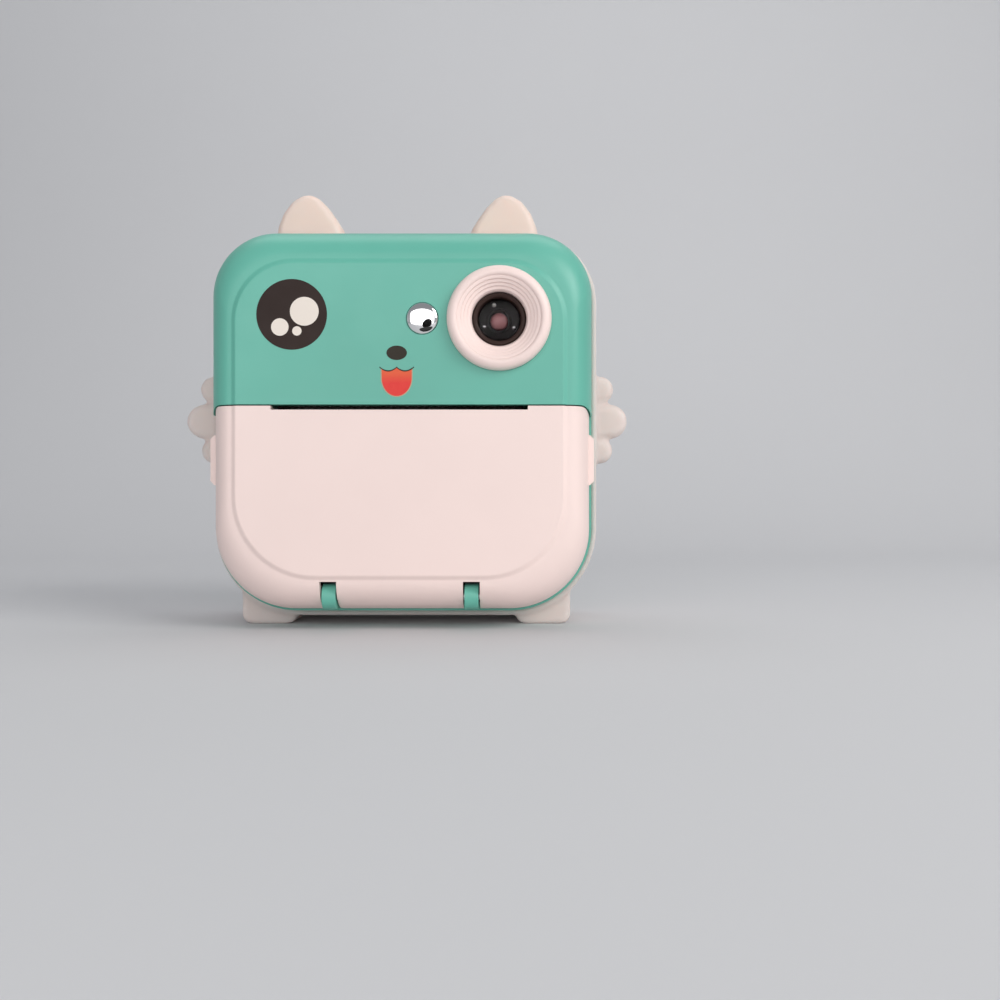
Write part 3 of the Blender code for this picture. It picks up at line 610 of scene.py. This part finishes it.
def hinge_lug(x):
    outline = (arc((HINGE_Y, HINGE_Z), LUG_R, 90, 270, 24)
               + [(-8.0, HINGE_Z - LUG_R), (-8.0, -42.0), (-15.0, -42.0), (HINGE_Y + 1.5, -38.4)])
    return prism(outline, "X", x - LUG_HALF, x + LUG_HALF)


def back_holes():
    """Holes through the back wall: screen window, button caps and speaker grille."""
    through = (18, 26)
    holes = [prism(rounded_outline((-26.2, -3.2), (26.2, 33.2), 2.2), "Y", *through)]
    for name in BACK_BUTTONS:
        x, _, z = node_centre(name)
        holes.append(rod("Y", (x, z), cap_radius(name) + GAP, *through))
    x, _, z = node_centre("speaker")
    holes.append(rod("Y", (x, z), SPEAKER_HOLE_R, *through, 24))
    for i in range(6):
        angle = math.tau * i / 6
        place = (x + SPEAKER_RING_R * math.cos(angle), z + SPEAKER_RING_R * math.sin(angle))
        holes.append(rod("Y", place, SPEAKER_HOLE_R, *through, 24))
    return holes


def edge_holes():
    """Holes through the top for the two buttons and through the side for the sockets."""
    return [prism(rounded_outline((-8.8, -1.3), (4.8, 5.3), 3.2), "Z", 40, 50),
            rod("Z", POWER_AT, 2.7, 40, 50),
            prism(rounded_outline((11.2, 9.7), (15.0, 19.3), 1.6), "X", -50, -41),
            box((-50, 12.6, -6.2), (-41, 14.5, 6.2))]


def screw_hole(place):
    profile = [(0, 11), (SCREW_HOLE_R, 11), (SCREW_HOLE_R, 20.2), (SCREW_HEAD_R, 20.2),
               (SCREW_HEAD_R, 27), (0, 27)]
    return turned(profile, "Y", place, 32)


def make_rear_shell(look):
    """The deep rear cover with the hinge lugs, screw posts and all its openings."""
    shell = raw_object("rear_shell_skin", body_solid(0, FRONT_Y, BACK_Y))
    screws = [(x, z) for z in (SCREW_AT, -SCREW_AT) for x in (-SCREW_AT, SCREW_AT)]
    added = [rod("Y", place, SCREW_POST_R, 13.0, 21.8) for place in screws]
    added += [hinge_lug(side * LUG_X) for side in (-1, 1)]
    holes = [rod("X", (HINGE_Y, HINGE_Z), PIN_BORE_R, -20, 20), *back_holes(), *edge_holes()]
    holes += [screw_hole(place) for place in screws]
    carve(shell, [
        ("DIFFERENCE", inside_solid(0), False),
        ("INTERSECT", box((-CUT_SPAN, EDGE_Y + GAP / 2, -CUT_SPAN), (CUT_SPAN, CUT_SPAN, CUT_SPAN)),
         False),
        ("UNION", merged(*added), False),
        ("DIFFERENCE", merged(*holes), False),
    ])
    soften(shell, 0.18)
    finish_piece(shell, look["teal"], "camera", ["rear_shell"])


def door_inner_parts():
    """Lip under the slot, roller brackets, hinge bosses and side grips."""
    parts = [box((-38, -21.4, -0.4), (38, -18.6, 2.8))]
    grip = [(43.4, -15.0), (44.4, -15.0), (45.3, -14.0), (45.3, -4.2), (44.4, -3.2), (43.4, -3.2)]
    for side in (-1, 1):
        inner, outer = sorted((side * 29.0, side * 30.6))
        outline = [(-21.4, -8), (-12.4, -7), (-12.4, -0.5), (-14.5, 1.2), (-21.4, 1.2)]
        parts.append(prism(outline, "X", inner, outer))
        for near, far in ((10.5, 14.1), (18.9, 22.5)):
            low, high = sorted((side * near, side * far))
            outline = arc((HINGE_Y, HINGE_Z), 1.9, -90, 90, 20) + [(-20.3, -39.5), (-19.0, -41.7)]
            parts.append(prism(outline, "X", low, high))
        parts.append(prism([(side * x, z) for x, z in grip], "Y", -15.6, -12.5))
    return parts


def make_paper_door(look):
    """The white door: the body's lower front, cut free of the body, with the paper slot in its top."""
    door = raw_object("paper_door_skin", body_solid(-DOOR_INSET, FRONT_Y, BACK_Y))
    region = [(-30, -CUT_SPAN), (-13.6, -CUT_SPAN), (-13.6, -40), (-12.3, -38), (-12.3, -1),
              (-14, DOOR_TOP_Z), (-30, DOOR_TOP_Z)]
    holes = [box((-SLOT_HALF, -30, SLOT_FLOOR_Z), (SLOT_HALF, -10, 5)),
             rod("X", (HINGE_Y, HINGE_Z), PIN_BORE_R, -22.3, 22.3),
             rod("X", (PLATEN_Y, PLATEN_Z), SHAFT_BORE_R, -35, 35)]
    for side in (-1, 1):
        low, high = sorted((side * (LUG_X - NOTCH_HALF), side * (LUG_X + NOTCH_HALF)))
        holes.append(box((low, -25, -50), (high, -10, -37.3)))
        corner = door_corner(DOOR_CORNER, 0)
        corner += [(corner[-1][0], 10), (CUT_SPAN, 10), (CUT_SPAN, corner[0][1])]
        holes.append(prism([(side * x, z) for x, z in corner], "Y", -30, -5))
    carve(door, [
        ("DIFFERENCE", inside_solid(-DOOR_INSET), False),
        ("INTERSECT", prism(region, "X", -CUT_SPAN, CUT_SPAN), False),
        ("UNION", merged(*door_inner_parts()), True),
        ("DIFFERENCE", merged(*holes), True),
    ])
    soften(door, 0.22)
    finish_piece(door, look["white"], "door", ["paper_door"])


# ---------------------------------------------------------------- silicone case

def ear(side):
    """A pointed ear with rounded front and back edges, leaning outwards."""
    outline = [(32.8, 45.6), (32.3, 49.5), (30.9, 53.0), (28.6, 56.0), (26.0, 57.5), (24.0, 57.7),
               (22.0, 56.8), (19.6, 54.4), (17.6, 51.6), (16.0, 49.0), (15.0, 45.6)]
    rings = []
    for y, scale in ((-5.0, 0.80), (-4.2, 0.93), (-2.5, 1.0), (2.5, 1.0), (4.2, 0.93), (5.0, 0.80)):
        rings.append([(side * (EAR_X + (x - EAR_X) * scale), y,
                       z if z < EAR_FOOT_Z else EAR_MIDDLE_Z + (z - EAR_MIDDLE_Z) * scale)
                      for x, z in outline])
    return loft(rings)


def wing(side):
    """One flat cloud-shaped wing: three round-ended lobes on a root."""
    root = [(WING_ROOT_X, -8.6), (48.6, -8.6), (48.6, 11.4), (WING_ROOT_X, 11.4)]
    lobes = [prism([(side * x, z) for x, z in root], "Y", -4.6, -0.6)]
    for x, z, radius in WING_LOBES:
        rings = []
        for y, inset in ((-5.2, 1.3), (-4.7, 0.4), (-3.8, 0.0), (-1.4, 0.0), (-0.5, 0.4), (0.0, 1.3)):
            size = radius - inset
            outline = arc((x, z), size, -90, 90, 24)
            outline += [(WING_ROOT_X, z + size), (WING_ROOT_X, z - size)]
            rings.append([(side * a, y, b) for a, b in outline])
        lobes.append(loft(rings))
    return lobes


def foot(side):
    low, high = sorted((side * 27.0, side * 40.5))
    return prism(rounded_outline((low, -49.0), (high, -38.0), 2.4), "Y", -6.0, 20.0)


def make_case(look):
    """The silicone case, remeshed so that ears, wings and feet run smoothly into it."""
    case = raw_object("case_skin", body_solid(GAP + CASE_WALL, FRONT_Y - 2, CASE_BACK_Y))
    windows = [prism(rounded_outline((-36.5, -36.5), (36.5, 36.5), 9), "Y", 20, 30),
               prism(rounded_outline((9.5, -9.5), (17.5, 22.0), 3), "X", -CUT_SPAN, -44),
               prism(rounded_outline((-10.5, -3.0), (13.5, 7.0), 4), "Z", 43, CUT_SPAN)]
    carve(case, [
        ("INTERSECT", box((-70, CASE_FRONT_Y, -CUT_SPAN), (70, CUT_SPAN, CUT_SPAN)), False),
        ("UNION", merged(ear(1), ear(-1), foot(1), foot(-1), *wing(1), *wing(-1)), True),
        ("DIFFERENCE", body_solid(GAP, FRONT_Y - 12, BACK_Y + GAP), False),
        ("DIFFERENCE", merged(*windows), False),
    ])
    remesh = case.modifiers.new("remesh", "REMESH")
    remesh.mode = "VOXEL"
    remesh.voxel_size = CASE_VOXEL * MM
    smooth = case.modifiers.new("smooth", "SMOOTH")
    smooth.factor = 0.5
    smooth.iterations = 5
    settle(case)
    finish_piece(case, look["silicone"], "camera", ["silicone_case"], sharp=80)


# ---------------------------------------------------------------- lens and mirror

def make_lens_ring(look):
    """The white ring: a rounded crest, then grooves stepping down towards the barrel."""
    crest = [(12.0, -22.65), (12.0, -23.3), (11.85, -23.9), (11.55, -24.4), (11.1, -24.8), (10.5, -25.0),
             (10.0, -24.95), (9.7, -24.75), (9.5, -24.4)]
    steps = []
    for i in range(GROOVES):
        outer, height = 9.5 - GROOVE_STEP * i, -24.4 + GROOVE_DEPTH * i
        steps += [(outer, height), (outer - 0.66, height + 0.05), (outer - GROOVE_STEP, height + 0.12)]
    profile = [(6.3, -20.4), (9.0, -20.4), (9.0, -22.65), *crest, *steps[1:], (6.4, -22.3), (6.25, -22.0)]
    ring = raw_object("lens_ring_skin", turned(profile, "Y", (LENS_X, LENS_Z), 128, closed=True))
    finish_piece(ring, look["white"], "camera", ["lens_ring"], sharp=50)


def make_barrel(look):
    profile = [(0, -12.2), (6.0, -12.2), (6.0, -17.0), (6.12, -17.0), (6.12, -21.5), (6.05, -21.75),
               (5.85, -21.92), (5.4, -21.9), (5.1, -21.7), (4.95, -21.3), (4.9, -20.0), (4.7, -19.6),
               (2.9, -19.2), (2.7, -19.45), (2.3, -19.45), (2.2, -19.0), (2.2, -17.6), (0, -17.6)]
    barrel = raw_object("lens_barrel_skin", turned(profile, "Y", (LENS_X, LENS_Z)))
    finish_piece(barrel, look["barrel"], "camera", ["lens_barrel"], sharp=35)


def quarter_dome(radius, edge_y, height, steps):
    """Profile points of a shallow dome that bulges towards -Y, from its rim inwards."""
    points = []
    for i in range(steps):
        angle = math.pi / 2 * i / steps
        points.append((radius * math.cos(angle), edge_y - height * math.sin(angle)))
    return points


def make_lenses(look):
    """The flat-domed cover glass and the small bulging front lens behind it."""
    centre = (LENS_X, LENS_Z)
    cover = [(0, -20.35), (4.62, -20.35), (4.62, -20.75), (4.4, -20.85), (3.0, -21.0), (1.5, -21.08),
             (0, -21.1)]
    glass = raw_object("cover_glass_skin", turned(cover, "Y", centre))
    finish_piece(glass, look["cover_glass"], "camera", ["cover_glass"])
    bulge = [(0, -17.9), *quarter_dome(2.05, -18.1, 1.15, 12), (0, -19.25)]
    element = raw_object("front_lens_skin", turned(bulge, "Y", centre, 64))
    finish_piece(element, look["front_lens"], "camera", ["front_lens"])


def make_lens_screws(look):
    pin = [(0, -18.6), (0.2, -18.6), (0.2, -19.45), (0.5, -19.45), (0.48, -19.75), (0.3, -19.95),
           (0, -20.02)]
    for i in range(3):
        name = f"lens_screw_{i + 1}"
        x, _, z = node_centre(name)
        screw = raw_object(f"{name}_skin", turned(pin, "Y", (x, z), 24))
        finish_piece(screw, look["steel"], "camera", [name])


def make_mirror(look):
    """The convex selfie mirror."""
    dome = quarter_dome(MIRROR_R, MIRROR_EDGE_Y, MIRROR_DOME, 16)
    profile = [(0, -21.4), (MIRROR_R - 0.3, -21.4), (MIRROR_R, -21.7), *dome,
               (0, MIRROR_EDGE_Y - MIRROR_DOME)]
    mirror = raw_object("selfie_mirror_skin", turned(profile, "Y", (MIRROR_X, MIRROR_Z)))
    finish_piece(mirror, look["mirror"], "camera", ["selfie_mirror"])


# ---------------------------------------------------------------- printed face

def ink_patch(name, outline, layer, look):
    """A thin raised patch of ink on the front face; each layer lies on the one below."""
    front = FRONT_Y - INK * layer
    patch = raw_object(name, prism(outline, "Y", front - INK, front))
    finish_piece(patch, look, "camera")


def circle(x, z, radius, steps=96):
    return arc((x, z), radius, 0, 360, steps)[:-1]


def ellipse(x, z, half_width, half_height, steps=64):
    angles = [math.tau * i / steps for i in range(steps)]
    return [(x + half_width * math.cos(angle), z + half_height * math.sin(angle)) for angle in angles]


def lip_height(x):
    """Height of the cat-lip line: two shallow cups with a peak between them and raised ends."""
    reach = abs(x) / 3.85
    cup = 0.85 * (1 - math.sin(math.pi * min(reach, 1.0)) ** 0.8)
    return LIP_Z + cup


def mouth_outline(grow):
    """The open mouth below the lip line, grown outwards by a margin."""
    half_width = 3.45 + grow
    top = []
    for i in range(41):
        x = -half_width + 2 * half_width * i / 40
        top.append((FACE_X + x, lip_height(x) - 0.05 + grow * 0.3))
    bottom = []
    for i in range(1, 40):
        angle = math.pi * i / 40
        bottom.append((FACE_X + half_width * math.cos(angle) * (1 - 0.10 * math.sin(angle)),
                       9.6 - (4.3 + grow) * math.sin(angle) ** 0.8))
    return top + bottom


def lip_outline():
    """The thin lip line, with the same thickness above and below lip_height."""
    thickness = 0.14
    places = [-LIP_HALF + 2 * LIP_HALF * i / 60 for i in range(61)]
    upper = [(FACE_X + x, lip_height(x) + thickness) for x in places]
    lower = [(FACE_X + x, lip_height(x) - thickness) for x in reversed(places)]
    return upper + lower


def make_face(look):
    """The printed eye, nose and mouth."""
    eye_x, eye_z, eye_radius = EYE
    ink_patch("eye_print", circle(eye_x, eye_z, eye_radius), 0, look["eye_ink"])
    for i, (dx, dz, radius) in enumerate(GLINTS):
        ink_patch(f"eye_glint_{i + 1}", circle(eye_x + dx, eye_z + dz, radius), 1, look["glint_ink"])
    ink_patch("nose_print", ellipse(FACE_X, 15.2, 2.35, 1.65), 0, look["lip_ink"])
    ink_patch("mouth_halo", mouth_outline(0.22), 0, look["halo_ink"])
    ink_patch("mouth_print", mouth_outline(0.0), 1, look["mouth_ink"])
    ink_patch("lip_print", lip_outline(), 2, look["lip_ink"])


# ---------------------------------------------------------------- buttons and screen

def arrow_outline(x, z, degrees, size):
    """A triangle that points along an angle in degrees."""
    points = []
    for turn in (0, 130, 230):
        angle = math.radians(degrees + turn)
        points.append((x + size * math.cos(angle), z + size * math.sin(angle)))
    return points


def icon_outlines(name, x, z):
    """The printed symbol on a button: arrow, ring, three bars or a play triangle."""
    if name in ARROWS:
        return [arrow_outline(x, z, ARROWS[name], 1.1)]
    if name == "play_button":
        return [arrow_outline(x, z, 180, 1.2)]
    if name == "menu_button":
        return [rounded_outline((x - 1.2, z + dz - 0.16), (x + 1.2, z + dz + 0.16), 0.12)
                for dz in (-0.75, 0, 0.75)]
    outer, inner = circle(x, z, 1.5, 48), circle(x, z, 1.15, 48)
    return [outer + [outer[0], inner[0]] + inner[:0:-1]]


def make_back_buttons(look):
    """Round white buttons with a flange inside the shell, each with its printed symbol."""
    for name in BACK_BUTTONS:
        x, _, z = node_centre(name)
        radius = cap_radius(name)
        flange = radius + BUTTON_FLANGE
        profile = rounded_profile([(0, 19.6), (flange, 19.6), (flange, 20.5), (radius, 20.5),
                                   (radius, 23.9), (radius - 0.9, 24.35), (0, BUTTON_FACE_Y)], 0.3)
        button = raw_object(f"{name}_skin", turned(profile, "Y", (x, z), 64))
        body = name.replace("_button", "_key")
        finish_piece(button, look["white"], body, [name], sharp=35)
        for i, outline in enumerate(icon_outlines(name, x, z)):
            ink = prism(outline, "Y", BUTTON_FACE_Y - 0.07, BUTTON_FACE_Y + 0.02)
            mark = raw_object(f"{name}_mark_{i + 1}", ink)
            finish_piece(mark, look["mark_ink"], body)


def make_top_buttons(look):
    """The long shutter button with its two ribs, and the round power button beside it."""
    cap = raw_object("shutter_button_skin",
                     prism(rounded_outline((-8.5, -1.0), (4.5, 5.0), 2.95, 16), "Z", 42.3, 45.7))
    soften(cap, 0.5, 4)
    flange = prism(rounded_outline((-9.3, -1.8), (5.3, 5.8), 3.7, 16), "Z", 41.6, 42.6)
    ribs = [rod("Y", (x, 45.55), 0.55, 0.5, 3.5, 32) for x in (-3.8, 0.7)]
    carve(cap, [("UNION", merged(flange, *ribs), True)])
    finish_piece(cap, look["teal"], "shutter", ["shutter_button"])
    profile = rounded_profile([(0, 41.6), (3.2, 41.6), (3.2, 42.6), (2.4, 42.6), (2.4, 45.65), (0, 45.7)],
                              0.35)
    power = raw_object("power_button_skin", turned(profile, "Z", POWER_AT, 64))
    finish_piece(power, look["teal"], "power", ["power_button"])


def make_screen(look):
    """The glossy window over the display, and the darker picture area that shows through it."""
    window = rounded_outline((-26, -3), (26, 33), 2.0)
    picture = rounded_outline((-23.5, -0.5), (23.5, 30.5), 0.4)
    pane = raw_object("screen_window_skin", prism(window, "Y", 21.1, 22.8))
    soften(pane, 0.25, 3)
    finish_piece(pane, look["screen"], "camera", ["screen_window"])
    area = raw_object("display_area", prism(picture, "Y", 22.78, 22.82))
    finish_piece(area, look["display"], "camera")


# ---------------------------------------------------------------- paper and roller

def ring_piece(name, centre, outer, inner, reach, edge, body, look, node):
    """A smooth tube along X with slightly rounded ends, in place of a faceted CAD node."""
    profile = [(inner, -reach), (outer - edge, -reach), (outer - edge * 0.3, -reach + edge * 0.3),
               (outer, -reach + edge), (outer, reach - edge), (outer - edge * 0.3, reach - edge * 0.3),
               (outer - edge, reach), (inner, reach)]
    piece = raw_object(name, turned(profile, "X", centre, closed=True))
    finish_piece(piece, look, body, [node], sharp=50)


def make_rolls(look):
    """The paper roll, its core and the platen roller."""
    ring_piece("paper_roll_skin", (ROLL_Y, ROLL_Z), 15.0, 6.8, 28.5, 0.15, "roll", look["paper"],
               "paper_roll")
    ring_piece("paper_core_skin", (ROLL_Y, ROLL_Z), 6.5, 5.2, 28.4, 0.2, "roll", look["core"],
               "paper_core")
    ring_piece("platen_roller_skin", (PLATEN_Y, PLATEN_Z), 4.0, 1.5, 28.2, 0.3, "platen", look["rubber"],
               "platen_roller")


# ---------------------------------------------------------------- inner CAD nodes

def dress_cad_nodes(look):
    """Materials for the CAD nodes that stay as they are."""
    by_slot = {"black_plastic": "black", "steel": "steel", "platen_rubber": "rubber", "gear_nylon": "nylon",
               "thermal_paper": "paper", "core_plastic": "core", "circuit_board": "board",
               "battery_wrap": "battery", "screen": "screen", "teal_plastic": "teal",
               "white_plastic": "white", "silicone": "silicone", "chrome": "mirror",
               "lens_glass": "front_lens"}
    slots = {row["node"]: row["material_slot"] for row in frame["record"]["subparts"]}
    for node, obj in frame["nodes"].items():
        # The tear bar gets black instead of its own material: painted shade, so that it reads dark deep
        # inside the paper slot.
        chosen = look["black" if node == "tear_bar" else by_slot[slots[node]]]
        for material_slot in obj.material_slots:
            material_slot.material = chosen
        if not obj.material_slots:
            obj.data.materials.append(chosen)


# ---------------------------------------------------------------- stage, light and camera

def make_stage():
    """A pale floor that curves up into a backdrop."""
    curve_y, curve_radius, half_width = 0.25, 0.35, 2.0
    profile = [(-1.6, 0.0), (curve_y, 0.0)]
    for i in range(1, 17):
        angle = math.pi / 2 * i / 16
        profile.append((curve_y + curve_radius * math.sin(angle), curve_radius * (1 - math.cos(angle))))
    profile.append((curve_y + curve_radius, 2.4))
    bm = bmesh.new()
    left = [bm.verts.new((-half_width, y, z)) for y, z in profile]
    right = [bm.verts.new((half_width, y, z)) for y, z in profile]
    for i in range(len(profile) - 1):
        bm.faces.new((left[i], right[i], right[i + 1], left[i + 1]))
    floor = raw_object("stage_floor", bm)
    floor.data.shade_smooth()
    paint = varied("stage_paint", (0.66, 0.665, 0.68), 0.8, patch=2, grain=300, grain_depth=0.01,
                   contrast=0.01, shine=0.0)
    floor.data.materials.append(paint)


def make_dark_cards():
    """A black card and a mat out in front, seen only in reflections such as the selfie mirror's."""
    black = varied("card_black", (0.004, 0.003, 0.003), 0.9, patch=8, grain=200, contrast=0.2)
    mat_z = (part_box("silicone_case")[0].z - CENTRE_Z) / MM
    shapes = {"dark_card": rod("Y", (60, 0), 80, -402, -400),
              "dark_mat": prism(ellipse(42, -250, 80, 155), "Z", mat_z + 0.2, mat_z + 0.7)}
    for name, bm in shapes.items():
        card = raw_object(name, bm)
        card.data.materials.append(black)
        card.visible_camera = False
        card.visible_shadow = False
        card.visible_diffuse = False


def area_light(name, place, target, size, energy, colour=(1, 1, 1)):
    data = bpy.data.lights.new(name, "AREA")
    data.shape = "RECTANGLE"
    data.size, data.size_y = size
    data.energy = energy
    data.color = colour
    light = bpy.data.objects.new(name, data)
    light.location = place
    light.rotation_euler = (Vector(target) - Vector(place)).to_track_quat("-Z", "Y").to_euler()
    light.visible_camera = False
    bpy.context.scene.collection.objects.link(light)


def make_lights():
    """Broad softboxes in front and above, and a smaller key light from the right."""
    middle = (0, 0, CENTRE_Z)
    area_light("front", (-0.05, -0.95, 0.27), middle, (1.2, 0.62), 3.9, (1.0, 0.985, 0.98))
    area_light("key", (0.66, -0.50, 0.50), middle, (0.5, 0.5), 4.2, (1.0, 0.985, 0.96))
    area_light("top", (0.0, 0.20, 0.80), middle, (0.9, 0.4), 1.5)


def make_world():
    """Soft grey light from all round, brighter near the horizon."""
    world_light = bpy.data.worlds.new("studio")
    world_light.use_nodes = True
    tree = world_light.node_tree
    background = tree.nodes["Background"]
    coords = tree.nodes.new("ShaderNodeTexCoord")
    split = tree.nodes.new("ShaderNodeSeparateXYZ")
    tree.links.new(coords.outputs["Generated"], split.inputs["Vector"])
    height = tree.nodes.new("ShaderNodeMapRange")
    height.inputs["From Min"].default_value = 0.0
    height.inputs["From Max"].default_value = 0.6
    tree.links.new(split.outputs["Z"], height.inputs["Value"])
    sky = blend_colours(tree, height.outputs["Result"], (0.42, 0.427, 0.44), (0.26, 0.265, 0.28))
    tree.links.new(sky, background.inputs["Color"])
    bpy.context.scene.world = world_light
    bpy.context.scene.view_settings.view_transform = "Standard"


def make_camera():
    data = bpy.data.cameras.new("camera")
    data.lens = 34.2
    data.sensor_width = 36.0
    data.clip_start = 0.01
    camera = bpy.data.objects.new("camera", data)
    camera.location = (23.1 * MM, -240 * MM, CENTRE_Z - 18.5 * MM)
    camera.rotation_euler = (math.pi / 2, 0, 0)
    bpy.context.scene.collection.objects.link(camera)
    bpy.context.scene.camera = camera


def main():
    make_camera()
    look = make_looks()
    make_front_shell(look)
    make_rear_shell(look)
    make_paper_door(look)
    make_case(look)
    make_lens_ring(look)
    make_barrel(look)
    make_lenses(look)
    make_lens_screws(look)
    make_mirror(look)
    make_face(look)
    make_back_buttons(look)
    make_top_buttons(look)
    make_screen(look)
    make_rolls(look)
    dress_cad_nodes(look)
    make_stage()
    make_dark_cards()
    make_lights()
    make_world()


main()
